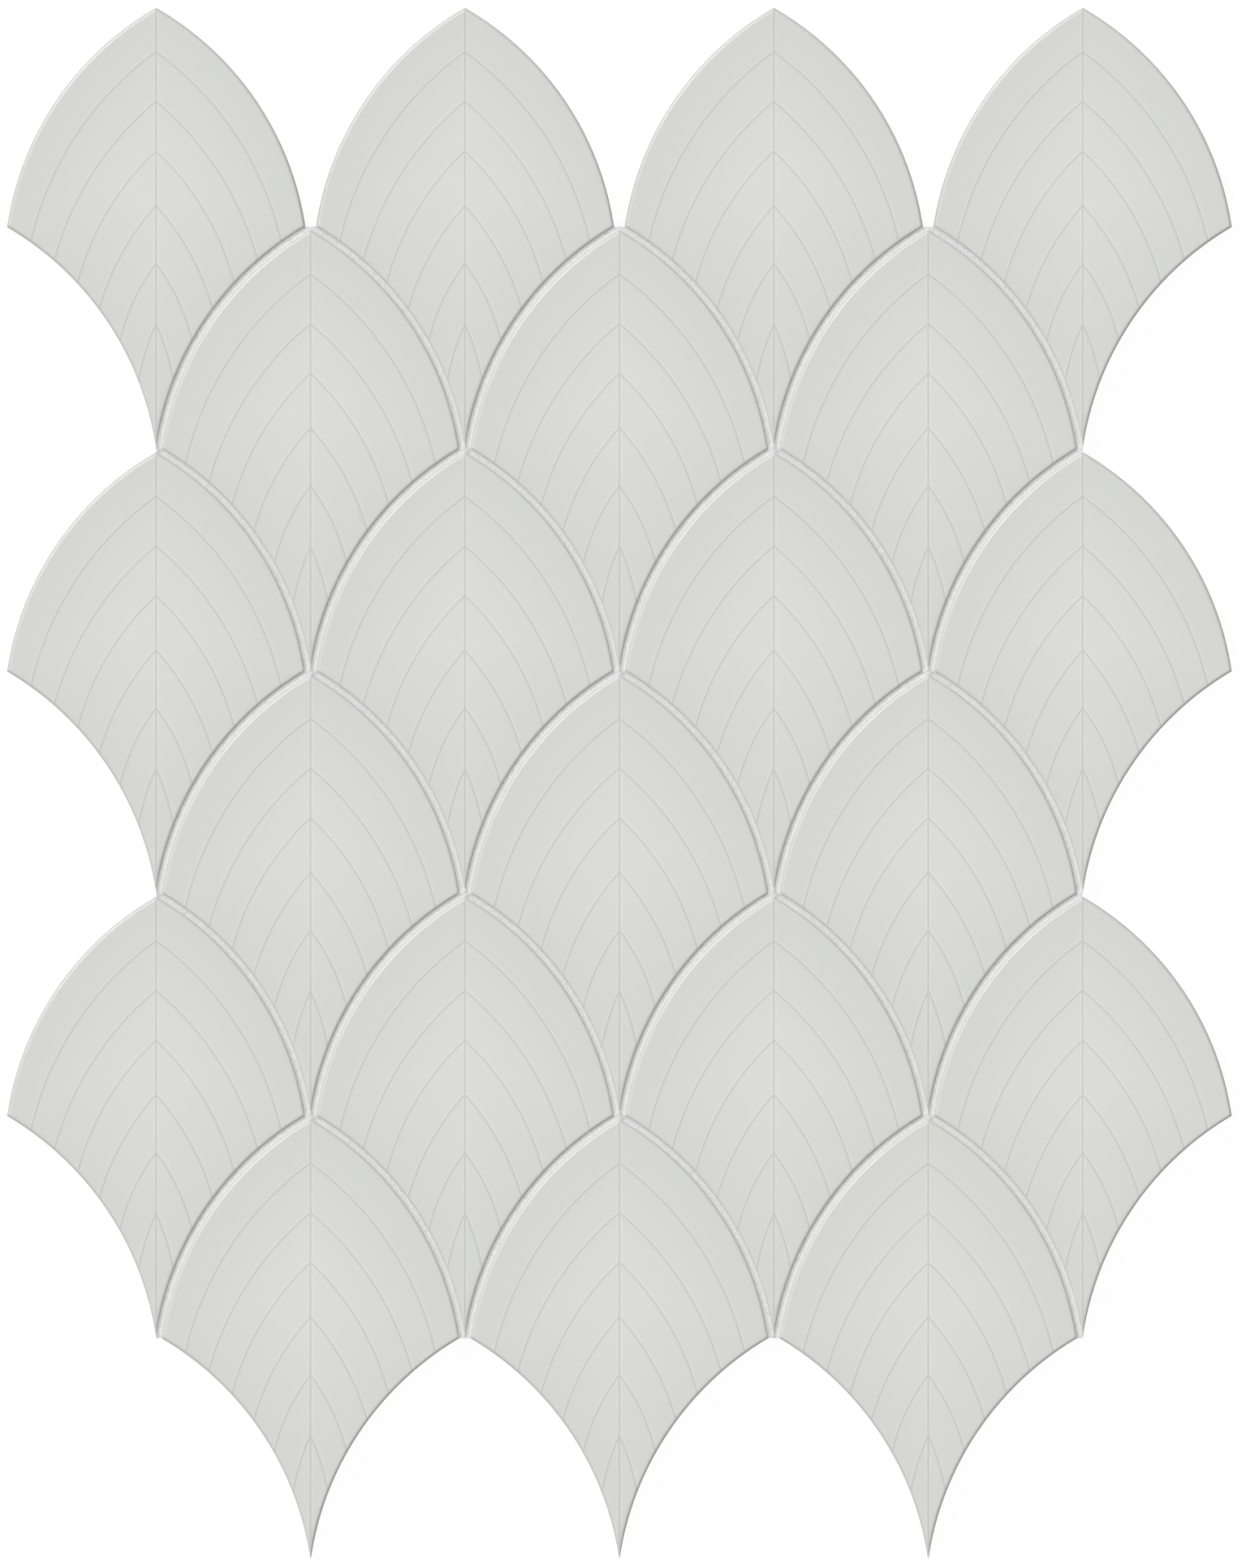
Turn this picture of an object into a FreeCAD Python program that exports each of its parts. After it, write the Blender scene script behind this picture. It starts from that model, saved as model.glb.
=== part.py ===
import FreeCAD
import Part
import math
import os

# Fish scale mosaic sheet, in millimetres. It lies face up on its back: X runs across the sheet,
# Y from the tips of the scales to their heads, Z up from the back. The origin is the middle of the back.

# Layout of the sheet
ROWS = 6
LONG_ROW = 4                # scales in the first, third and fifth row; the others have one less
COLUMN_PITCH = 63.5         # between neighbours in a row
ROW_PITCH = 45.7            # between the heads of one row and the next
JOINT = 1.1                 # between the walls of two scales

# One scale
SIDE_RADIUS = 62.3          # of the two convex upper sides
THICKNESS = 6.5
EDGE_WIDTH = 0.6            # eased edge between the face and the walls, seen from above
EDGE_DROP = 0.6             # and its depth below the face

# Joint filler
FILLER_RECESS = 0.6         # below the faces
FILLER_SETBACK = 0.6        # above the back

SETTLING_PASSES = 12

Vector = FreeCAD.Vector
UP = Vector(0, 0, 1)
ACROSS = Vector(1, 0, 0)
HEAD = Vector(0, 0, 0)      # each scale is drawn with its head here, then put in its place

half_width = COLUMN_PITCH / 2 - JOINT
scale_length = 2 * ROW_PITCH - JOINT
lower_radius = SIDE_RADIUS + JOINT


def centre_on_right(start, end, radius):
    """Centre of the arc from start to end that turns to the right."""
    chord = end - start
    right = Vector(chord.y, -chord.x, 0).normalize()
    depth = math.sqrt(radius ** 2 - chord.Length ** 2 / 4)
    return (start + end) / 2 + right * depth


def settle_sides():
    """Centres of a scale's right upper and right lower side, and the drop from its head to its side corner.

    The lower side runs one joint outside the upper side of the scale below it. The corner lies on both
    sides, so a few passes settle it.
    """
    drop = ROW_PITCH
    for _ in range(SETTLING_PASSES):
        upper = centre_on_right(HEAD, Vector(half_width, -drop, 0), SIDE_RADIUS)
        lower = Vector(COLUMN_PITCH / 2 - upper.x, upper.y - ROW_PITCH, 0)
        drop = -lower.y - math.sqrt(lower_radius ** 2 - (lower.x - half_width) ** 2)
    return upper, lower, drop


upper_centre, lower_centre, corner_drop = settle_sides()


def mirrored(shape):
    """The same on the other side of the line from head to tip."""
    return shape.mirror(HEAD, ACROSS)


def turned(corners, centre):
    """Solid turned about the upright line through the centre, from corners given as radius and height."""
    points = [Vector(radius, 0, height) for radius, height in corners]
    section = Part.Face(Part.makePolygon(points + points[:1]))
    return section.revolve(HEAD, UP, 360).translated(centre)


def upper_disc():
    """Disc whose rim is the right upper side, with its eased edge."""
    shoulder = THICKNESS - EDGE_DROP
    rim = [(SIDE_RADIUS, 0), (SIDE_RADIUS, shoulder), (SIDE_RADIUS - EDGE_WIDTH, THICKNESS)]
    return turned([(0, 0)] + rim + [(0, THICKNESS)], upper_centre)


def lower_hollow():
    """Cutting shape that leaves the right lower side, with its eased edge."""
    floor = -EDGE_DROP
    shoulder = THICKNESS - EDGE_DROP
    roof = THICKNESS + EDGE_DROP
    rim = [(lower_radius, floor), (lower_radius, shoulder), (lower_radius + 2 * EDGE_WIDTH, roof)]
    return turned([(0, floor)] + rim + [(0, roof)], lower_centre)


def scale():
    """One scale, its needle tip cut off one joint above the head of the scale below."""
    disc = upper_disc()
    hollow = lower_hollow()
    below_tip = Vector(-COLUMN_PITCH / 2, -scale_length - ROW_PITCH, 0)
    tip_cut = Part.makeBox(COLUMN_PITCH, ROW_PITCH, THICKNESS, below_tip)
    return disc.common(mirrored(disc)).cut([hollow, mirrored(hollow), tip_cut])


def row_heads(row):
    """Places of the heads in a row, counted from 0 at the top of the sheet."""
    count = LONG_ROW - row % 2
    sheet_length = (ROWS - 1) * ROW_PITCH + scale_length
    left = -(count - 1) * COLUMN_PITCH / 2
    return [Vector(left + i * COLUMN_PITCH, sheet_length / 2 - row * ROW_PITCH, 0) for i in range(count)]


def filler_band(rise):
    """Filler along a scale's right upper side, from that rise over its head down to its side corner."""
    height = THICKNESS - FILLER_RECESS - FILLER_SETBACK
    foot = upper_centre + UP * FILLER_SETBACK
    ring = Part.makeCylinder(lower_radius, height, foot).cut(Part.makeCylinder(SIDE_RADIUS, height, foot))
    corner = Vector(0, -corner_drop, FILLER_SETBACK)
    return ring.common(Part.makeBox(COLUMN_PITCH / 2, corner_drop + rise, height, corner))


def joint_filler():
    """One web of bands, on each upper side that has a scale above it."""
    bands = []
    for row in range(1, ROWS):
        # The second row's heads have no tip over them, so the filler ends level with the corners there.
        right = filler_band(JOINT if row > 1 else ROW_PITCH - corner_drop)
        above = [head.x for head in row_heads(row - 1)]
        for head in row_heads(row):
            if head.x < max(above):
                bands.append(right.translated(head))
            if head.x > min(above):
                bands.append(mirrored(right).translated(head))
    return bands[0].multiFuse(bands[1:]).removeSplitter()


def main():
    os.makedirs("parts", exist_ok=True)
    pattern = scale()
    for row in range(ROWS):
        for index, head in enumerate(row_heads(row)):
            pattern.translated(head).exportStep(f"parts/scale_row{row + 1}_{index + 1}.step")
    joint_filler().exportStep("parts/joint_filler.step")


main()
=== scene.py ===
import math

import bpy
import numpy as np
from bpy.props import FloatProperty, FloatVectorProperty, PointerProperty
from bpy.types import Operator, Panel, PropertyGroup
from mathutils import Matrix, Vector, noise


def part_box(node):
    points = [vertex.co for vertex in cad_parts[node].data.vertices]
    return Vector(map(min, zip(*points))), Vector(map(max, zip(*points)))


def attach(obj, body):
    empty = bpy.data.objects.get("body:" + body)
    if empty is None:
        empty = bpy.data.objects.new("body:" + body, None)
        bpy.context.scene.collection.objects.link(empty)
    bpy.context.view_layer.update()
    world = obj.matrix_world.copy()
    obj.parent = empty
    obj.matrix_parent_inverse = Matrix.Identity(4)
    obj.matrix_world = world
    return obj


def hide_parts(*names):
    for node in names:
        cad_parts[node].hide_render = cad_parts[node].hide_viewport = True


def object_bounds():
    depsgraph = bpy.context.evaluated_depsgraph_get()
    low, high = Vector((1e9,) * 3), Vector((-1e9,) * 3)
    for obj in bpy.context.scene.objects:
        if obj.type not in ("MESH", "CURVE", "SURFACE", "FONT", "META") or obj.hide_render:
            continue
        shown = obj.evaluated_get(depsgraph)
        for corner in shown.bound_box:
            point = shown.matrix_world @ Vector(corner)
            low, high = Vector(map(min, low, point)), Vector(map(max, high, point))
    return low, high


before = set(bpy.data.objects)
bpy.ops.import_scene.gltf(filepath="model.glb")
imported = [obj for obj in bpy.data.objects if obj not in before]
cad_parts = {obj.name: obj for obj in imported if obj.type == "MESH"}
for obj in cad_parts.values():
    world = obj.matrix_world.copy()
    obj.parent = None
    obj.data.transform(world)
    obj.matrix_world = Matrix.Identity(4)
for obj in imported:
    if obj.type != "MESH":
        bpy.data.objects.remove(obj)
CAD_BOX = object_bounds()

bl_info = {
    "name": "Fish scale mosaic sheet",
    "version": (1, 0, 0),
    "blender": (4, 5, 0),
    "location": "3D View > Sidebar > Fish scale",
    "description": "Dresses a mosaic sheet of leaf-veined fish scales and the filler in its joints",
    "category": "Object",
}

BODY = "root"
FILLER_NODE = "joint_filler"
SCALE_NODES = sorted(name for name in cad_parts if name.startswith("scale_row"))

# The sheet lies in the photograph at this many pixels to a column of scales, with its middle here.
PHOTO_SIZE = (1535, 1932)
PHOTO_COLUMN_STEP = 380.54
PHOTO_SHEET_MIDDLE = (763.05, 964.65)

WHITE = (1.0, 1.0, 1.0)


def head_of(node):
    """Point of a scale's head, seen from above."""
    low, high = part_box(node)
    return np.array(((low.x + high.x) / 2, high.y))


def row_of(node):
    """Number of a scale's row, 1 at the top of the sheet."""
    return int(node.split("_")[1].removeprefix("row"))


COLUMN_PITCH = head_of("scale_row1_2")[0] - head_of("scale_row1_1")[0]
ROW_PITCH = head_of("scale_row1_1")[1] - head_of("scale_row2_1")[1]


# Kinds of setting

def length(label, about, default):
    return FloatProperty(name=label, description=about, default=default, min=0.0, precision=5, unit="LENGTH")


def lengths(label, about, default):
    return FloatVectorProperty(
        name=label, description=about, default=default, size=len(default), min=0.0, precision=5,
        unit="LENGTH")


def share(label, about, default):
    return FloatProperty(
        name=label, description=about, default=default, min=0.0, max=1.0, precision=3, subtype="FACTOR")


def colour(label, about, default):
    return FloatVectorProperty(
        name=label, description=about, default=default, min=0.0, max=1.0, size=3, subtype="COLOR")


def strength(label, about, default):
    return FloatProperty(name=label, description=about, default=default, min=0.0)


def angle(label, about, degrees):
    return FloatProperty(name=label, description=about, default=math.radians(degrees), subtype="ANGLE")


class ScaleShape(PropertyGroup):
    """Sizes of one scale's outline, edge, midrib and veins."""

    side_radius: length("Side radius", "Radius of the two convex upper sides", 0.0623)
    edge_width: length("Edge width", "Rounded edge between face and wall, seen from above", 0.0007)
    edge_drop: length("Edge drop", "Depth of the rounded edge below the face", 0.0006)
    midrib_width: length("Midrib width", "Width of the incised midrib at the face", 0.00056)
    vein_width: length("Vein width", "Width of an incised vein at the face", 0.00054)
    line_depth: length("Line depth", "Depth of the midrib and the veins", 0.000008)
    lip_offset: length("Lip offset", "From an incised line to the middle of the pale lip beside it", 0.00039)
    lip_width: length("Lip width", "Width of the pale lip", 0.0004)
    vein_drops: lengths(
        "Vein starts", "From the head down to where each vein leaves the midrib",
        (0.0091, 0.0193, 0.0295, 0.0407, 0.05265, 0.0651))
    vein_runs: lengths(
        "Vein ends", "From the side corner along the lower side to where each vein ends",
        (0.00585, 0.0120, 0.0187, 0.02565, 0.0335, 0.0426))
    vein_bulges: FloatVectorProperty(
        name="Vein bulges", description="Rise of each vein's arc as a share of its chord",
        default=(0.092, 0.078, 0.071, 0.058, 0.054, 0.034), size=6, precision=3)


class GlazeFinish(PropertyGroup):
    """Colours and grain of the satin glaze and of the fired body under it, with painted shade and painted
    highlights in the glaze.
    """

    # Painted soft shade: the glaze colour darkens from the middle of a scale towards its rim.
    middle_colour: colour("Middle", "Glaze at the middle of a scale", (0.700, 0.707, 0.670))
    rim_shade_colour: colour("Rim", "Glaze at the rim of a scale", (0.650, 0.658, 0.622))
    fade: length("Fade", "From the rim to where the glaze has its middle colour", 0.0205)
    cloud_size: length("Cloud size", "Size of the faint clouds in the glaze", 0.011)
    clouds: share("Clouds", "How far the clouds turn the glaze to its colour at the rim", 0.05)
    # Painted shade of the barely cut midrib and veins, partly glaze pooled in them.
    vein_shade: share("Vein loss", "How much darker the glaze is, pooled in the midrib and the veins", 0.19)
    # Painted highlight: the lips beside the incised lines are paler, standing in for light on their raised
    # edges.
    lip_highlight: share("Lip gain", "How much paler the glaze is, drawn thin on the lips of the veins", 0.06)
    # Painted shade on the rounded edge: the colour darkens towards the wall, darkest in the core next to it.
    edge_shade_colour: colour("Edge", "Glaze drawn thin on the rounded edge", (0.570, 0.577, 0.545))
    edge_shade_reach: length("Edge fade", "From the wall to where the glaze is at its full thickness", 0.00065)
    edge_shade_core: share("Edge core", "Share of that fade, next to the wall, where the glaze is thinnest", 0.2)
    roughness: share("Roughness", "Roughness of the glaze", 0.38)
    sheen_size: length("Sheen size", "Size of the patches of softer and brighter sheen", 0.006)
    sheen_drift: share("Sheen drift", "How much the roughness drifts from patch to patch", 0.04)
    peel_size: length("Peel size", "Size of the slow waves in the glaze", 0.0025)
    peel_depth: length("Peel depth", "Depth of the slow waves", 0.000012)
    stipple_size: length("Stipple size", "Size of the fine stipple in the glaze", 0.0003)
    stipple_depth: length("Stipple depth", "Depth of the fine stipple", 0.000004)
    glaze_foot: share("Glaze foot", "Share of the thickness above which the wall is glazed", 0.62)
    body_top: share("Body top", "Share of the thickness below which the body is bare", 0.54)
    drip_size: length("Drip size", "Width of the drips along the foot of the glaze", 0.004)
    drip_reach: length("Drip reach", "How far a drip runs past the foot of the glaze", 0.0005)
    body_colour: colour("Body", "Unglazed body on the lower wall and the back", (0.72, 0.69, 0.63))
    body_roughness: share("Body roughness", "How much rougher the body is than the glaze", 0.45)
    speck_colour: colour("Specks", "Specks in the unglazed body", (0.56, 0.54, 0.49))
    speck_size: length("Speck size", "Size of the specks", 0.0006)


class FillerFinish(PropertyGroup):
    """Shape and colour of the sandy joint filler."""

    pale_colour: colour("Pale grains", "Cement and pale sand", (0.782, 0.782, 0.772))
    dark_colour: colour("Dark grains", "Darker sand", (0.53, 0.53, 0.525))
    climb: length("Climb", "How far the filler climbs the walls of the scales beside it", 0.00026)
    climb_reach: length("Climb reach", "How far from a wall the filler begins to climb", 0.00055)
    lap: length("Lap", "How far the filler runs in under the rounded edges", 0.00016)
    swell: length("Swell", "How much higher the filler stands where a tip meets a head", 0.00026)
    swell_reach: length(
        "Swell reach", "From the middle of such a crossing to where about a third of the swell is left",
        0.0009)
    grain: length("Grain", "Size of the sand grains", 0.00022)
    grain_rise: length("Grain rise", "Height of the grains over the cement", 0.00006)
    grain_relief: length("Grain relief", "Depth of the dents between single grains", 0.00005)
    patch_size: length("Patch size", "Size of the darker patches of sand", 0.000308)
    pit_size: length("Pit size", "Size of the pits in the cement", 0.000154)
    pit_depth: length("Pit depth", "Depth of the pits", 0.00008)


class StageLight(PropertyGroup):
    """Floor, sky, key lamp, overhead lamp and lens."""

    sky: strength("Sky", "Even light from all round", 0.195)
    key: strength("Key", "Key lamp", 2.4)
    key_height: angle("Key height", "Key lamp above the floor", 47)
    key_bearing: angle("Key bearing", "Key lamp round from the sheet's right", 137)
    key_softness: angle("Key softness", "Width of the key lamp in the sky", 16)
    top: strength("Top", "Wide lamp overhead", 0.68)
    top_softness: angle("Top softness", "Width of the overhead lamp in the sky", 100)
    floor_colour: colour("Floor", "Floor as it lights the sheet", (0.40, 0.40, 0.40))
    floor_glow: strength("Floor glow", "White of the floor where it is seen", 0.95)
    floor_shade: colour("Floor shade", "What lit floor adds to that white", (0.1, 0.1, 0.1))
    lens: FloatProperty(
        name="Lens", description="Focal length of the camera", default=600.0, min=1.0, unit="CAMERA")


class Arc:
    """Stretch of a circle from start to end that turns to the right."""

    def __init__(self, start, end, radius):
        chord = end - start
        reach = np.hypot(*chord)
        right = np.array((chord[1], -chord[0])) / reach
        self.start = start
        self.end = end
        self.radius = radius
        self.centre = (start + end) / 2 + right * math.sqrt(radius ** 2 - reach ** 2 / 4)
        self.first = math.atan2(*(start - self.centre)[::-1])
        self.last = math.atan2(*(end - self.centre)[::-1])
        self.length = radius * (self.first - self.last)

    def turn(self, along):
        """Angle about the centre at a share of the way from start to end."""
        return self.first + along * (self.last - self.first)

    def at(self, along):
        """Point at a share of the way."""
        turn = self.turn(along)
        return self.centre + self.radius * np.stack((np.cos(turn), np.sin(turn)), -1)

    def heading(self, along):
        """Direction of the arc at a share of the way."""
        turn = self.turn(along)
        return np.stack((np.sin(turn), -np.cos(turn)), -1)

    def offset(self, points):
        """How far the points lie outside the arc, whose far end runs on, or from its start if before that."""
        spoke = points - self.centre
        turn = np.arctan2(spoke[..., 1], spoke[..., 0])
        off = np.hypot(spoke[..., 0], spoke[..., 1]) - self.radius
        before = np.hypot(*np.moveaxis(points - self.start, -1, 0))
        return np.where(turn > self.first, before, off)


class ScalePlan:
    """One scale seen from above, its head at the origin and its tip towards -Y, with the right-hand veins."""

    SETTLING_PASSES = 12
    TIP_RADIUS = 1.0        # so large that the end of the tip is as good as straight
    CORNER_BLEND = 0.1      # softening of the corners, as a share of the rounded edge's width

    def __init__(self, shape):
        low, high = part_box(SCALE_NODES[0])
        self.shape = shape
        self.thickness = high.z
        self.span = high.y - low.y
        self.half_width = (high.x - low.x) / 2
        self.joint = COLUMN_PITCH / 2 - self.half_width
        self.radius = shape.side_radius
        self.lower_radius = self.radius + self.joint
        self.settle_sides()
        self.tip_angle = self.lower_angle(-self.span)
        tip_half = self.lower_point(self.tip_angle)[0]
        self.tip = Arc(np.array((0.0, -self.span)), np.array((tip_half, -self.span)), self.TIP_RADIUS)
        self.add_veins()

    def settle_sides(self):
        """Sides and side corner, which lies on both sides at once, so a few passes settle it."""
        drop = ROW_PITCH
        for _ in range(self.SETTLING_PASSES):
            self.side = Arc(np.zeros(2), np.array((self.half_width, -drop)), self.radius)
            self.lower_centre = np.array((COLUMN_PITCH / 2, -ROW_PITCH)) + self.side.centre * (-1, 1)
            across = self.lower_centre[0] - self.half_width
            drop = -self.lower_centre[1] - math.sqrt(self.lower_radius ** 2 - across ** 2)
        self.corner_drop = drop

    def lower_angle(self, y):
        """Angle about its centre at which the right lower side is at that height."""
        return math.asin((y - self.lower_centre[1]) / self.lower_radius)

    def lower_point(self, turn):
        """Point of the right lower side, at that angle about its centre."""
        return self.lower_centre + self.lower_radius * np.stack((-np.cos(turn), np.sin(turn)), -1)

    def add_veins(self):
        """Arcs of the right-hand veins, from the midrib to the lower side."""
        shape = self.shape
        corner_angle = self.lower_angle(-self.corner_drop)
        self.foot_angles = [corner_angle - run / self.lower_radius for run in shape.vein_runs]
        self.veins = []
        for drop, foot_angle, bulge in zip(shape.vein_drops, self.foot_angles, shape.vein_bulges):
            start = np.array((0.0, -drop))
            end = self.lower_point(foot_angle)
            chord = np.hypot(*(end - start))
            rise = bulge * chord
            self.veins.append(Arc(start, end, (chord ** 2 / 4 + rise ** 2) / (2 * rise)))

    def inset(self, points):
        """Distance inwards from the nearest wall, less than 0 outside, with the corners a little softened."""
        blend = self.CORNER_BLEND * self.shape.edge_width
        x, y = points[..., 0], points[..., 1]
        walls = []
        for hand in (1, -1):
            walls.append(self.radius - np.hypot(x - hand * self.side.centre[0], y - self.side.centre[1]))
            spoke = np.hypot(x - hand * self.lower_centre[0], y - self.lower_centre[1])
            walls.append(spoke - self.lower_radius)
        walls.append(y + self.span)
        nearest = np.min(walls, axis=0)
        spread = sum(np.exp((nearest - wall) / blend) for wall in walls)
        return nearest - blend * np.log(spread)

    def line_masks(self, points):
        """How much of the points lies in the incised midrib and veins, and how much on the lips beside them.

        The midrib has a lip on both sides, a vein only towards the head.
        """
        shape = self.shape

        def section(off, width):
            return np.clip(1 - (2 * off / width) ** 2, 0, 1) ** 2

        folded = np.stack((np.abs(points[..., 0]), points[..., 1]), -1)
        lines = [section(folded[..., 0], shape.midrib_width)]
        lips = [section(folded[..., 0] - shape.lip_offset, shape.lip_width)]
        for vein in self.veins:
            off = vein.offset(folded)
            lines.append(section(off, shape.vein_width))
            lips.append(section(off - shape.lip_offset, shape.lip_width))
        line = np.max(lines, axis=0)
        return line, np.max(lips, axis=0) * (1 - line)

    def edge_fall(self, inset):
        """Fall of the rounded edge at that distance from the wall."""
        outward = np.clip(1 - inset / self.shape.edge_width, 0, 1)
        return self.shape.edge_drop * (1 - np.sqrt(1 - outward ** 2))

    def relief(self, points):
        """Height of the face at the points, their distance from the wall and their shares of line and lip."""
        inset = np.maximum(self.inset(points), 0.0)
        line, lip = self.line_masks(points)
        fade = np.clip(inset / self.shape.edge_width, 0, 1)
        height = self.thickness - self.edge_fall(inset) - line * fade * self.shape.line_depth
        return height, {"inset": inset, "line": line * fade, "lip": lip * fade}


def grid_quads(ids):
    """Quads of a grid of point numbers, rows by columns."""
    return np.stack((ids[:-1, :-1], ids[1:, :-1], ids[1:, 1:], ids[:-1, 1:]), -1).reshape(-1, 4)


def smooth_mesh(name, points, faces, sharp_angle):
    """Mesh that is shaded smooth, apart from edges sharper than that angle."""
    mesh = bpy.data.meshes.new(name)
    mesh.from_pydata(points.tolist(), [], faces)
    mesh.shade_smooth()
    mesh.set_sharp_from_angle(angle=sharp_angle)
    mesh.validate()
    return mesh


class ScaleMesh:
    """Grid over one scale: rows follow the veins from midrib to lower side, columns run from head to tip."""

    EDGE_STEPS = 8
    BEYOND_EDGE = 1.25                      # where one more step lies, in widths of the rounded edge
    LINE_STEPS = 8
    TIP_STEPS = (0, 0.1, 0.4, 1.0)          # in widths of the rounded edge
    OPEN_COLUMNS = 22
    OPEN_ROWS = 5
    CROWDING = 0.8                          # most of a line's length that the crowded steps may take
    LEAST_SLANT = 0.2                       # least sine of a slant by which steps are stretched
    WALL_RINGS = (0.9, 0.72, 0.4, 0.0)      # in shares of the height at the foot of the rounded edge
    SHARP_ANGLE = math.radians(50)

    def __init__(self, plan):
        self.plan = plan
        shape = plan.shape
        round_part = 1 - np.sin(np.linspace(math.pi / 2, 0, self.EDGE_STEPS))
        self.edge_steps = shape.edge_width * np.append(round_part, self.BEYOND_EDGE)
        self.line_steps = np.linspace(0, shape.lip_offset + shape.lip_width / 2, self.LINE_STEPS)
        self.tip_steps = shape.edge_width * np.array(self.TIP_STEPS)

    def column_shares(self, line):
        """Where the columns cross a line: crowded at the midrib and at the lower side."""
        outward = self.plan.lower_centre - line.end
        outward = outward / np.hypot(*outward)
        near_rib = self.line_steps / max(line.heading(0.0)[0], self.LEAST_SLANT)
        near_edge = self.edge_steps / max(line.heading(1.0) @ outward, self.LEAST_SLANT)
        room = (near_rib[-1] + near_edge[-1]) / (self.CROWDING * line.length)
        squeeze = 1 / max(room, 1.0) / line.length
        near_rib = near_rib * squeeze
        near_edge = 1 - near_edge[::-1] * squeeze
        open_part = np.linspace(near_rib[-1], near_edge[0], self.OPEN_COLUMNS + 2)[1:-1]
        return np.concatenate((near_rib, open_part, near_edge))

    def band(self, upper, lower, angles, near_upper, near_lower):
        """Rows of points from one line down to the next, crowded at both."""
        columns = self.column_shares(upper), self.column_shares(lower)
        gap = lower.at(columns[1]) - upper.at(columns[0])
        width = np.hypot(gap[:, 0], gap[:, 1])

        def square_on(line, along):
            way = line.heading(along)
            square = np.abs(way[:, 0] * gap[:, 1] - way[:, 1] * gap[:, 0])
            return np.maximum(square, self.LEAST_SLANT * width)

        top = near_upper[:, None] / square_on(upper, columns[0])
        bottom = near_lower[::-1, None] / square_on(lower, columns[1])
        squeeze = 1 / np.maximum((top[-1] + bottom[0]) / self.CROWDING, 1.0)
        top = top * squeeze
        bottom = 1 - bottom * squeeze
        steps = np.linspace(0, 1, self.OPEN_ROWS + 2)[1:-1, None]
        across = np.concatenate((top, top[-1] + steps * (bottom[0] - top[-1]), bottom))
        along = (1 - across) * columns[0] + across * columns[1]
        keep = (1 - across)[..., None]
        points = keep * upper.at(along) + (1 - keep) * lower.at(along)
        foot = self.plan.lower_point((1 - across) * angles[0] + across * angles[1])
        chord = keep * upper.end + (1 - keep) * lower.end
        return points + along[..., None] * (foot - chord)

    def half(self):
        """Points of the right half, rows by columns."""
        plan = self.plan
        lines = [plan.side, *plan.veins, plan.tip]
        angles = [plan.lower_angle(-plan.corner_drop), *plan.foot_angles, plan.tip_angle]
        rows = []
        for index in range(len(lines) - 1):
            near_upper = self.edge_steps if index == 0 else self.line_steps
            near_lower = self.tip_steps if index == len(lines) - 2 else self.line_steps[1:]
            upper, lower = lines[index:index + 2]
            rows.append(self.band(upper, lower, angles[index:index + 2], near_upper, near_lower))
        return np.concatenate(rows)

    def build(self, name):
        """Mesh of one scale with its head at the origin."""
        right = self.half()
        rows, columns = right.shape[:2]
        left = right[:, 1:] * (-1, 1)
        plan_points = np.concatenate((right.reshape(-1, 2), left.reshape(-1, 2)))
        height, masks = self.plan.relief(plan_points)
        points = np.column_stack((plan_points, height))

        right_ids = np.arange(rows * columns).reshape(rows, columns)
        new_ids = rows * columns + np.arange(left.size // 2).reshape(rows, -1)
        left_ids = np.column_stack((right_ids[:, 0], new_ids))
        faces = grid_quads(right_ids).tolist() + grid_quads(left_ids)[:, ::-1].tolist()

        rim = np.concatenate((
            right_ids[0], right_ids[1:, -1], right_ids[-1, -2::-1],
            left_ids[-1, 1:], left_ids[-2::-1, -1], left_ids[0, -2:0:-1]))
        shoulder = points[rim, 2].min()
        ring = rim
        for level in self.WALL_RINGS:
            lower = points[rim].copy()
            lower[:, 2] = level * shoulder
            lower_ids = len(points) + np.arange(len(rim))
            points = np.concatenate((points, lower))
            faces += np.stack((ring, np.roll(ring, -1), np.roll(lower_ids, -1), lower_ids), -1).tolist()
            ring = lower_ids
        faces.append(ring.tolist())

        mesh = smooth_mesh(name, points, faces, self.SHARP_ANGLE)
        bare = np.zeros(len(points) - len(height))
        for label, values in masks.items():
            layer = mesh.attributes.new(label, "FLOAT", "POINT")
            layer.data.foreach_set("value", np.concatenate((values, bare)))
        return mesh


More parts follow.
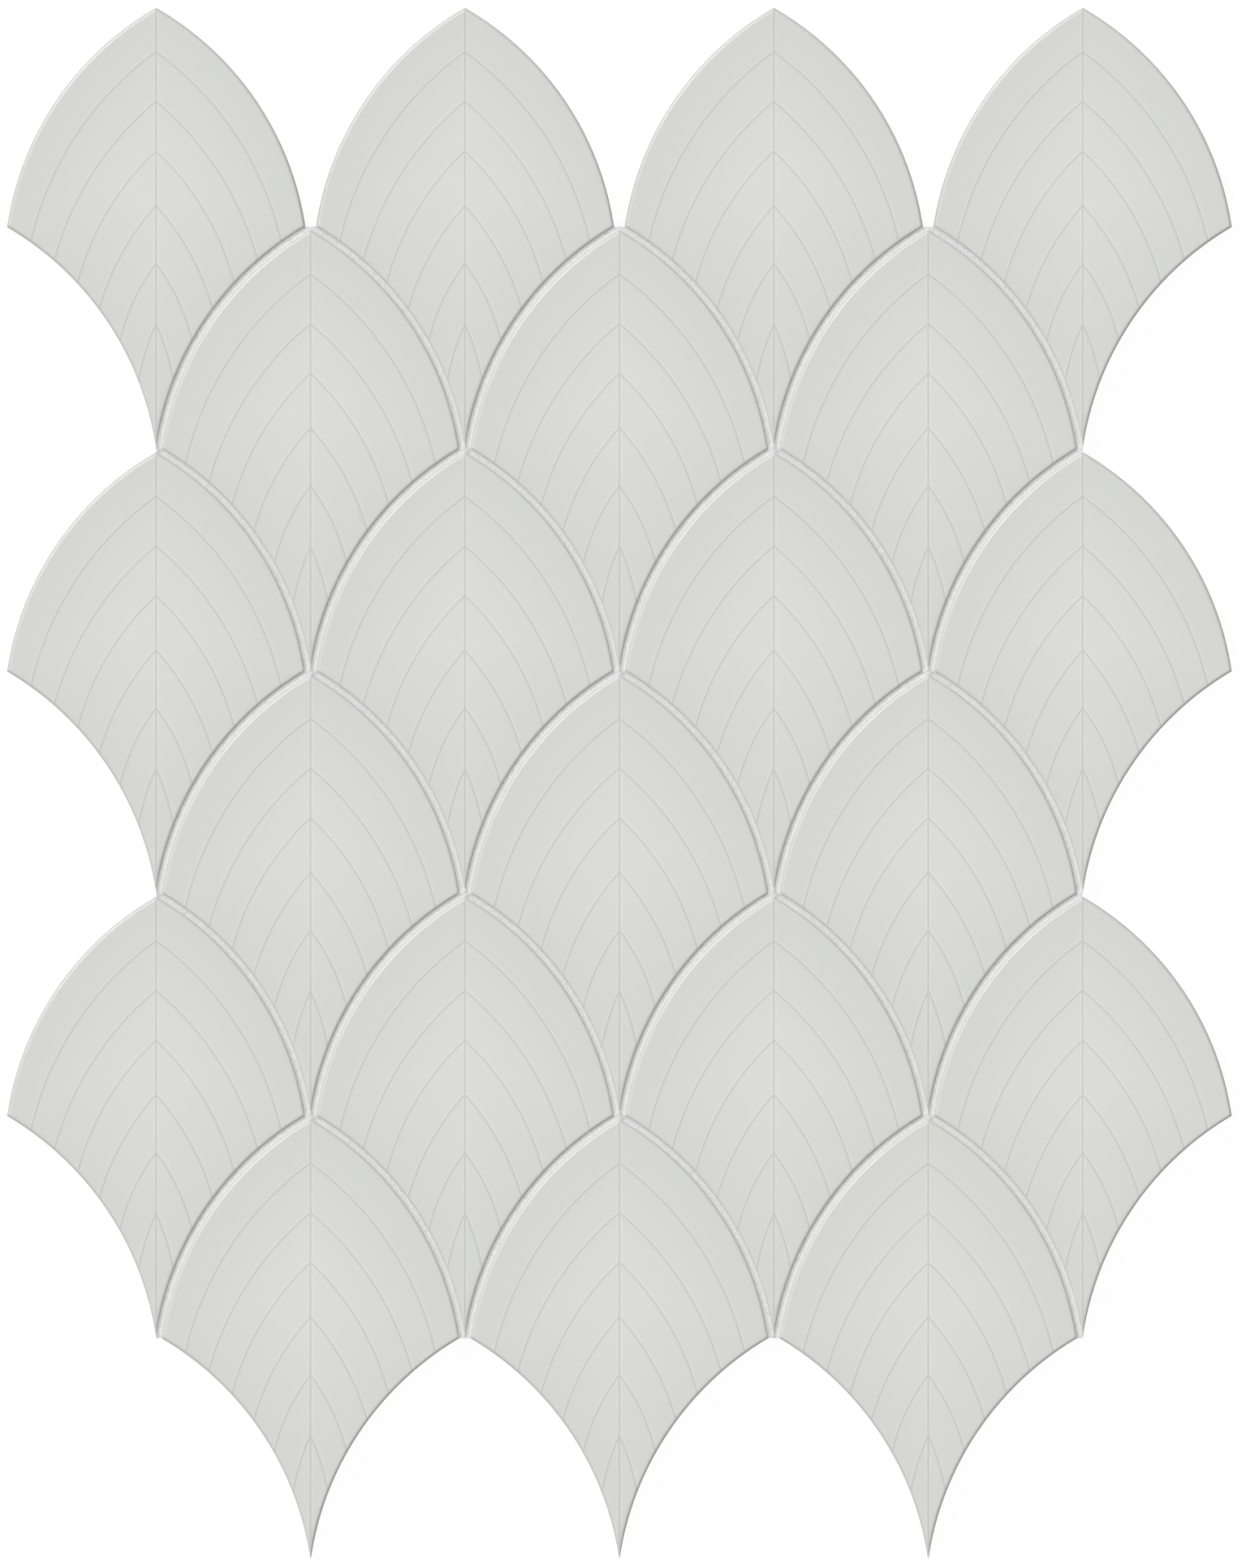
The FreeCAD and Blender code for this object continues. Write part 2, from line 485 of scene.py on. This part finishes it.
class FillerMesh:
    """One web of filler bands, a band on each upper side that has a scale above it."""

    CELLS = 6                           # across a band
    RUNGS = 210                         # along a band
    END_STEPS = (0.00045, 0.0002)       # last rungs before the side corner
    FIRST_CROSSING_ROW = 3              # the heads of the first two rows have no tip above them
    SWELL_FLATNESS = 4                  # power that gives the swell a flat top
    SWELL_LAP = 1.6                     # how much further the filler laps over a head in a full swell
    COARSE_SIZE = 3                     # coarse unevenness, in grains
    COARSE_SHARE = 0.6                  # and its height beside that of the grains
    COARSE_LEVEL = 0.01                 # level of the noise that it is taken from
    MERGE_SCALE = 1e6                   # points that agree to a thousandth of a millimetre are one
    SHARP_ANGLE = math.radians(60)

    def __init__(self, plan, look):
        self.plan = plan
        self.look = look
        self.low, self.high = (corner.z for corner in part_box(FILLER_NODE))

    def right_band(self):
        """Points along a scale's right upper side, rungs by cells, with its head at the origin."""
        plan = self.plan
        centre = plan.side.centre
        rise = ROW_PITCH - plan.corner_drop
        tip_y = -(ROW_PITCH - plan.joint)
        middle = COLUMN_PITCH / 2

        def bearing(point):
            return math.atan2(*(np.array(point) - centre)[::-1])

        def on_circle(radius, angles):
            return centre + radius * np.stack((np.cos(angles), np.sin(angles)), -1)

        start = bearing((plan.joint, rise))
        ends = [plan.side.last + step / plan.radius for step in self.END_STEPS] + [plan.side.last]
        inner_angles = np.concatenate((
            np.linspace(plan.side.first, start, self.CELLS + 1),
            np.linspace(start, ends[0], self.RUNGS)[1:], ends[1:]))
        tip_bearing = math.asin((tip_y - centre[1]) / plan.lower_radius)
        outer = np.concatenate((
            np.column_stack((np.linspace(0, plan.joint, self.CELLS + 1), np.full(self.CELLS + 1, rise))),
            on_circle(plan.lower_radius, np.linspace(start, tip_bearing, self.RUNGS))[1:],
            [(middle, tip_y), (middle, -plan.corner_drop)]))
        inner = on_circle(plan.radius, inner_angles)
        across = np.linspace(0, 1, self.CELLS + 1)[None, :, None]
        return inner[:, None] * (1 - across) + outer[:, None] * across

    def band_places(self):
        """Head and hand, 1 for right and -1 for left, of each band."""
        for node in SCALE_NODES:
            above = [head_of(other)[0] for other in SCALE_NODES if row_of(other) == row_of(node) - 1]
            head = head_of(node)
            if above and head[0] < max(above):
                yield head, 1
            if above and head[0] > min(above):
                yield head, -1

    def web(self):
        """Points of the whole web seen from above, each kept once, and its quads."""
        band = self.right_band()
        ids = np.arange(band.size // 2).reshape(band.shape[:2])
        quads = grid_quads(ids)
        points, faces = [], []
        for count, (head, hand) in enumerate(self.band_places()):
            points.append((band * (hand, 1) + head).reshape(-1, 2))
            faces.append((quads if hand > 0 else quads[:, ::-1]) + count * ids.size)
        points = np.concatenate(points)
        rounded = np.round(points * self.MERGE_SCALE).astype(np.int64)
        _, first, same = np.unique(rounded, axis=0, return_index=True, return_inverse=True)
        return points[first], same.reshape(-1)[np.concatenate(faces)]

    def gap(self, points):
        """Distance from the nearest wall."""
        return np.min([-self.plan.inset(points - head_of(node)) for node in SCALE_NODES], axis=0)

    def from_crossing(self, points):
        """Way to the points from the middle of the nearest crossing, where a tip meets a head."""
        heads = [head_of(node) for node in SCALE_NODES if row_of(node) >= self.FIRST_CROSSING_ROW]
        ways = np.array([points - head - (0.0, self.plan.joint / 2) for head in heads])
        nearest = np.argmin(np.hypot(ways[..., 0], ways[..., 1]), axis=0)
        return ways[nearest, np.arange(len(points))]

    def swell(self, points):
        """Share of the swell at the points: 1 in the middle of a crossing."""
        off = np.hypot(*self.from_crossing(points).T)
        return np.exp(-(off / self.look.swell_reach) ** self.SWELL_FLATNESS)

    def lap(self, points):
        """The points, those on the walls moved in under the rounded edges, further on a head in a swell."""
        reach = self.look.lap
        rises = [self.gap(points + reach * way) - self.gap(points - reach * way) for way in np.eye(2)]
        off_wall = np.column_stack(rises) / (2 * reach)
        on_head = self.from_crossing(points)[:, 1] < 0
        run = reach * (1 + self.SWELL_LAP * self.swell(points) * on_head)
        on_wall = self.gap(points) < reach / 2
        return np.where(on_wall[:, None], points - run[:, None] * off_wall, points)

    def climb(self, points):
        """Rise of the filler towards the walls near the points."""
        return self.look.climb * np.clip(1 - self.gap(points) / self.look.climb_reach, 0, 1) ** 2

    def sand(self, points):
        """Height of the grains at the points."""
        grain = self.look.grain
        heights = []
        for x, y in points:
            fine = noise.noise(Vector((x, y, 0.0)) / grain)
            coarse = noise.noise(Vector((x, y, self.COARSE_LEVEL)) / (self.COARSE_SIZE * grain))
            heights.append(fine + self.COARSE_SHARE * coarse)
        return self.look.grain_rise * np.array(heights)

    def build(self, name):
        """Mesh of the whole web in its place."""
        points, faces = self.web()
        points = self.lap(points)
        rise = self.climb(points) + self.look.swell * self.swell(points) + self.sand(points)
        top = np.column_stack((points, self.high + rise))
        bottom = np.column_stack((points, np.full(len(points), self.low)))

        sides = np.concatenate([faces[:, [k, (k + 1) % 4]] for k in range(4)])
        _, where, uses = np.unique(np.sort(sides, axis=1), axis=0, return_index=True, return_counts=True)
        rim = sides[where[uses == 1]]
        below = len(points)
        walls = np.column_stack((rim[:, 1], rim[:, 0], rim[:, 0] + below, rim[:, 1] + below))
        everything = np.concatenate((faces, faces[:, ::-1] + below, walls))
        return smooth_mesh(name, np.concatenate((top, bottom)), everything.tolist(), self.SHARP_ANGLE)


class Finish:
    """A material and short ways to add and join its nodes."""

    NOISE_SPREAD = (0.3, 0.7)       # most of the noise lies between these

    def __init__(self, name):
        self.material = bpy.data.materials.new(name)
        self.material.use_nodes = True
        self.tree = self.material.node_tree
        self.tree.nodes.clear()
        self.output = self.add("ShaderNodeOutputMaterial")
        self.place = self.add("ShaderNodeTexCoord").outputs["Object"]

    def add(self, kind, inputs=(), **settings):
        """New node with those settings and inputs."""
        node = self.tree.nodes.new(kind)
        for key, value in settings.items():
            setattr(node, key, value)
        for key, value in dict(inputs).items():
            self.feed(node.inputs[key], value)
        return node

    def feed(self, socket, value):
        """Links an input to another node's output, or sets it."""
        if isinstance(value, bpy.types.NodeSocket):
            self.tree.links.new(value, socket)
        elif socket.type == "RGBA":
            socket.default_value = (*value, 1.0)
        else:
            socket.default_value = value

    def grain(self, size, detail=2.0, roughness=0.5):
        """Noise whose features are about that size."""
        spec = {"Vector": self.place, "Scale": 1 / size, "Detail": detail, "Roughness": roughness}
        return self.add("ShaderNodeTexNoise", spec).outputs["Fac"]

    def ramp(self, value, low, high, to_low=0.0, to_high=1.0):
        """The value, with its range from low to high stretched to the other range."""
        spec = {"Value": value, "From Min": low, "From Max": high, "To Min": to_low, "To Max": to_high}
        return self.add("ShaderNodeMapRange", spec, clamp=True).outputs["Result"]

    def drift(self, size, low, high, detail=2.0):
        """Noise of about that size, spread from low to high."""
        return self.ramp(self.grain(size, detail), *self.NOISE_SPREAD, low, high)

    def calculate(self, first, second, operation="ADD"):
        """Two values added, or joined by another operation."""
        return self.add("ShaderNodeMath", {0: first, 1: second}, operation=operation).outputs[0]

    def mix(self, share_in, first, second, blend="MIX"):
        """The first colour with a share of the second mixed in."""
        node = self.add("ShaderNodeMix", {"Factor": share_in}, data_type="RGBA", blend_type=blend)
        colours = [socket for socket in node.inputs if socket.type == "RGBA"]
        for socket, value in zip(colours, (first, second)):
            self.feed(socket, value)
        return next(socket for socket in node.outputs if socket.type == "RGBA")

    def attribute(self, name):
        """Value that the mesh holds under that name."""
        return self.add("ShaderNodeAttribute", attribute_name=name).outputs["Fac"]

    def bump(self, height, depth, normal=None):
        """Dents of that depth, over those of another bump if one is given."""
        inputs = {"Height": height, "Distance": depth, "Strength": 1.0}
        if normal is not None:
            inputs["Normal"] = normal
        return self.add("ShaderNodeBump", inputs).outputs["Normal"]

    def surface(self, **inputs):
        """The finished material, with those inputs to its shader."""
        shader = self.add("ShaderNodeBsdfPrincipled")
        for name, value in inputs.items():
            self.feed(shader.inputs[name.replace("_", " ")], value)
        self.tree.links.new(shader.outputs["BSDF"], self.output.inputs["Surface"])
        return self.material


# Noise values over which a speck of the body and a dark patch of sand come up.
SPECK_SPREAD = (0.45, 0.75)
PATCH_SPREAD = (0.35, 0.72)


def glaze_finish(look, plan):
    """Satin glaze over a fired body, bare low on the wall, with painted soft shade towards the rim, painted
    shade on the rounded edge and in the veins (partly glaze pooled there), and painted highlights on the lips
    of the veins.
    """
    kiln = Finish("satin_glaze")
    inset = kiln.attribute("inset")
    # Painted soft shade, darker towards the rim of each scale.
    tone = kiln.mix(kiln.ramp(inset, 0.0, look.fade), look.rim_shade_colour, look.middle_colour)
    tone = kiln.mix(kiln.drift(look.cloud_size, 0.0, look.clouds, detail=3.0), tone, look.rim_shade_colour)
    # Painted shade on the rounded edge, darkest next to the wall.
    thin = kiln.ramp(inset, look.edge_shade_reach, look.edge_shade_core * look.edge_shade_reach)
    tone = kiln.mix(thin, tone, look.edge_shade_colour)
    # Painted highlight on the lips beside the lines.
    paler = kiln.ramp(kiln.attribute("lip"), 0.0, 1.0, 1.0, 1.0 + look.lip_highlight)
    # Painted shade in the midrib and veins.
    darker = kiln.ramp(kiln.attribute("line"), 0.0, 1.0, 0.0, look.vein_shade)
    tone = kiln.mix(1.0, tone, kiln.calculate(paler, darker, "SUBTRACT"), "MULTIPLY")

    height = kiln.add("ShaderNodeSeparateXYZ", {0: kiln.place}).outputs["Z"]
    drip = kiln.calculate(height, kiln.drift(look.drip_size, -look.drip_reach, look.drip_reach))
    bare = kiln.ramp(drip, plan.thickness * look.glaze_foot, plan.thickness * look.body_top)
    specks = kiln.ramp(kiln.grain(look.speck_size, detail=3.0), *SPECK_SPREAD)
    tone = kiln.mix(bare, tone, kiln.mix(specks, look.body_colour, look.speck_colour))

    sheen = kiln.calculate(look.roughness, kiln.drift(look.sheen_size, -look.sheen_drift, look.sheen_drift))
    rough = kiln.calculate(sheen, kiln.ramp(bare, 0.0, 1.0, 0.0, look.body_roughness))
    peel = kiln.bump(kiln.grain(look.peel_size, detail=1.0), look.peel_depth)
    relief = kiln.bump(kiln.grain(look.stipple_size), look.stipple_depth, peel)
    return kiln.surface(Base_Color=tone, Roughness=rough, Normal=relief, IOR=1.5)


def filler_finish(look):
    """Sandy cement: pale with darker grains."""
    cement = Finish("sandy_filler")
    grains = cement.add("ShaderNodeTexVoronoi", {"Vector": cement.place, "Scale": 1 / look.grain})
    patches = cement.ramp(cement.grain(look.patch_size, detail=3.0), *PATCH_SPREAD)
    shade = cement.calculate(patches, grains.outputs["Color"], "MULTIPLY")
    tone = cement.mix(shade, look.pale_colour, look.dark_colour)
    pits = cement.bump(cement.grain(look.pit_size, detail=4.0, roughness=0.65), look.pit_depth)
    relief = cement.bump(grains.outputs["Distance"], look.grain_relief, pits)
    return cement.surface(Base_Color=tone, Roughness=0.9, Normal=relief, IOR=1.45)


def put_on_sheet(piece, material, node):
    """Links a piece, gives it its finish and lets it stand for its solid."""
    bpy.context.scene.collection.objects.link(piece)
    piece.data.materials.append(material)
    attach(piece, BODY)
    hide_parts(node)


class FISHSCALE_OT_lay_scales(Operator):
    """Make the glazed scales, with their veins, in their places on the sheet"""

    bl_idname = "fishscale.lay_scales"
    bl_label = "Lay scales"

    def execute(self, context):
        plan = ScalePlan(context.scene.fish_scale_shape)
        pattern = ScaleMesh(plan).build("scale")
        material = glaze_finish(context.scene.fish_scale_glaze, plan)
        for node in SCALE_NODES:
            mesh = pattern.copy()
            mesh.name = "glazed_" + node
            mesh.transform(Matrix.Translation((*head_of(node), 0.0)))
            piece = bpy.data.objects.new("glazed_" + node, mesh)
            put_on_sheet(piece, material, node)
        bpy.data.meshes.remove(pattern)
        return {"FINISHED"}


class FISHSCALE_OT_fill_joints(Operator):
    """Make the sandy filler in the joints between the scales"""

    bl_idname = "fishscale.fill_joints"
    bl_label = "Fill joints"

    def execute(self, context):
        look = context.scene.fish_scale_filler
        plan = ScalePlan(context.scene.fish_scale_shape)
        piece = bpy.data.objects.new("sandy_filler", FillerMesh(plan, look).build("sandy_filler"))
        put_on_sheet(piece, filler_finish(look), FILLER_NODE)
        return {"FINISHED"}


def seen_directly(tree):
    """1 on what the camera sees, straight or in a reflection, and 0 on what only lights the sheet."""
    path = tree.nodes.new("ShaderNodeLightPath")
    share_out = path.outputs["Is Camera Ray"]
    for other in ("Is Glossy Ray", "Is Transmission Ray"):
        both = tree.nodes.new("ShaderNodeMath")
        both.operation = "MAXIMUM"
        tree.links.new(share_out, both.inputs[0])
        tree.links.new(path.outputs[other], both.inputs[1])
        share_out = both.outputs[0]
    return share_out


def floor_finish(look):
    """Pale floor, white where it is seen, that keeps the shadow of the sheet."""
    floor = Finish("pale_floor")
    glow = floor.add("ShaderNodeEmission", {"Color": WHITE, "Strength": look.floor_glow})
    shade = floor.add("ShaderNodeBsdfDiffuse", {"Color": look.floor_shade})
    seen = floor.add("ShaderNodeAddShader", {0: glow.outputs[0], 1: shade.outputs[0]})
    plain = floor.add("ShaderNodeBsdfDiffuse", {"Color": look.floor_colour})
    spec = {0: seen_directly(floor.tree), 1: plain.outputs[0], 2: seen.outputs[0]}
    both = floor.add("ShaderNodeMixShader", spec)
    floor.tree.links.new(both.outputs[0], floor.output.inputs["Surface"])
    return floor.material


class FISHSCALE_OT_set_stage(Operator):
    """Set out the floor, the light and the camera that looks straight down on the sheet"""

    bl_idname = "fishscale.set_stage"
    bl_label = "Set stage"

    FLOOR_HALF = 6.0
    FLOOR_GAP = 0.0001
    LAMP_REACH = 2.0
    CLIP_REACH = 4          # how far the camera sees, in distances to the sheet

    def execute(self, context):
        look = context.scene.fish_scale_stage
        self.lay_floor(context, look)
        self.hang_lamp(context, "key", look.key, look.key_softness, look.key_height, look.key_bearing)
        self.hang_lamp(context, "top", look.top, look.top_softness, math.pi / 2)
        self.light_sky(context, look)
        self.aim_camera(context, look)
        context.scene.view_settings.view_transform = "Standard"
        return {"FINISHED"}

    def lay_floor(self, context, look):
        """A wide floor, just under the back of the sheet."""
        half = self.FLOOR_HALF
        outline = ((-half, -half), (half, -half), (half, half), (-half, half))
        corners = [(x, y, -self.FLOOR_GAP) for x, y in outline]
        mesh = bpy.data.meshes.new("floor")
        mesh.from_pydata(corners, [], [(0, 1, 2, 3)])
        mesh.materials.append(floor_finish(look))
        floor = bpy.data.objects.new("floor", mesh)
        context.scene.collection.objects.link(floor)

    def hang_lamp(self, context, name, energy, softness, height, bearing=0.0):
        """A far lamp at that height and bearing, turned to the sheet."""
        lamp = bpy.data.lights.new(name, "SUN")
        lamp.energy = energy
        lamp.angle = softness
        piece = bpy.data.objects.new(name, lamp)
        flat = math.cos(height)
        way = Vector((math.cos(bearing) * flat, math.sin(bearing) * flat, math.sin(height)))
        piece.location = way * self.LAMP_REACH
        piece.rotation_euler = way.to_track_quat("Z", "Y").to_euler()
        context.scene.collection.objects.link(piece)

    def light_sky(self, context, look):
        """Even sky, white where it is seen."""
        world = bpy.data.worlds.new("studio")
        world.use_nodes = True
        tree = world.node_tree
        tree.nodes.clear()
        lit = tree.nodes.new("ShaderNodeBackground")
        lit.inputs["Strength"].default_value = look.sky
        seen = tree.nodes.new("ShaderNodeBackground")
        for node in (lit, seen):
            node.inputs["Color"].default_value = (*WHITE, 1.0)
        both = tree.nodes.new("ShaderNodeMixShader")
        tree.links.new(seen_directly(tree), both.inputs[0])
        tree.links.new(lit.outputs[0], both.inputs[1])
        tree.links.new(seen.outputs[0], both.inputs[2])
        output = tree.nodes.new("ShaderNodeOutputWorld")
        tree.links.new(both.outputs[0], output.inputs["Surface"])
        context.scene.world = world

    def aim_camera(self, context, look):
        """A camera straight above, with the sheet as large and in the same place as in the photograph."""
        pixel = COLUMN_PITCH / PHOTO_COLUMN_STEP
        lens = bpy.data.cameras.new("camera")
        lens.lens = look.lens
        camera = bpy.data.objects.new("camera", lens)
        low, high = CAD_BOX
        middle = (low + high) / 2
        reach = max(PHOTO_SIZE) * pixel / lens.sensor_width * lens.lens
        camera.location = (
            middle.x + (PHOTO_SIZE[0] / 2 - PHOTO_SHEET_MIDDLE[0]) * pixel,
            middle.y - (PHOTO_SIZE[1] / 2 - PHOTO_SHEET_MIDDLE[1]) * pixel,
            high.z + reach)
        lens.clip_end = self.CLIP_REACH * reach
        context.scene.collection.objects.link(camera)
        context.scene.camera = camera


class FISHSCALE_PT_sheet(Panel):
    """Lists the sizes, the finishes and the steps of the sheet"""

    bl_idname = "FISHSCALE_PT_sheet"
    bl_label = "Fish scale sheet"
    bl_space_type = "VIEW_3D"
    bl_region_type = "UI"
    bl_category = "Fish scale"

    def draw(self, context):
        for title, group, step in STEPS:
            box = self.layout.box()
            box.label(text=title)
            settings = getattr(context.scene, group)
            for name in settings.bl_rna.properties.keys():
                if name not in ("rna_type", "name"):
                    box.prop(settings, name)
            if step:
                box.operator(step)


STEPS = (
    ("Scale", "fish_scale_shape", None),
    ("Glaze", "fish_scale_glaze", FISHSCALE_OT_lay_scales.bl_idname),
    ("Filler", "fish_scale_filler", FISHSCALE_OT_fill_joints.bl_idname),
    ("Stage", "fish_scale_stage", FISHSCALE_OT_set_stage.bl_idname),
)
GROUPS = {
    "fish_scale_shape": ScaleShape,
    "fish_scale_glaze": GlazeFinish,
    "fish_scale_filler": FillerFinish,
    "fish_scale_stage": StageLight,
}
TOOLS = (FISHSCALE_OT_lay_scales, FISHSCALE_OT_fill_joints, FISHSCALE_OT_set_stage, FISHSCALE_PT_sheet)


def register():
    for name, group in GROUPS.items():
        bpy.utils.register_class(group)
        setattr(bpy.types.Scene, name, PointerProperty(type=group))
    for tool in TOOLS:
        bpy.utils.register_class(tool)


def unregister():
    for tool in reversed(TOOLS):
        bpy.utils.unregister_class(tool)
    for name, group in reversed(GROUPS.items()):
        delattr(bpy.types.Scene, name)
        bpy.utils.unregister_class(group)


def main():
    register()
    bpy.ops.fishscale.lay_scales()
    bpy.ops.fishscale.fill_joints()
    bpy.ops.fishscale.set_stage()


if __name__ == "__main__":
    main()
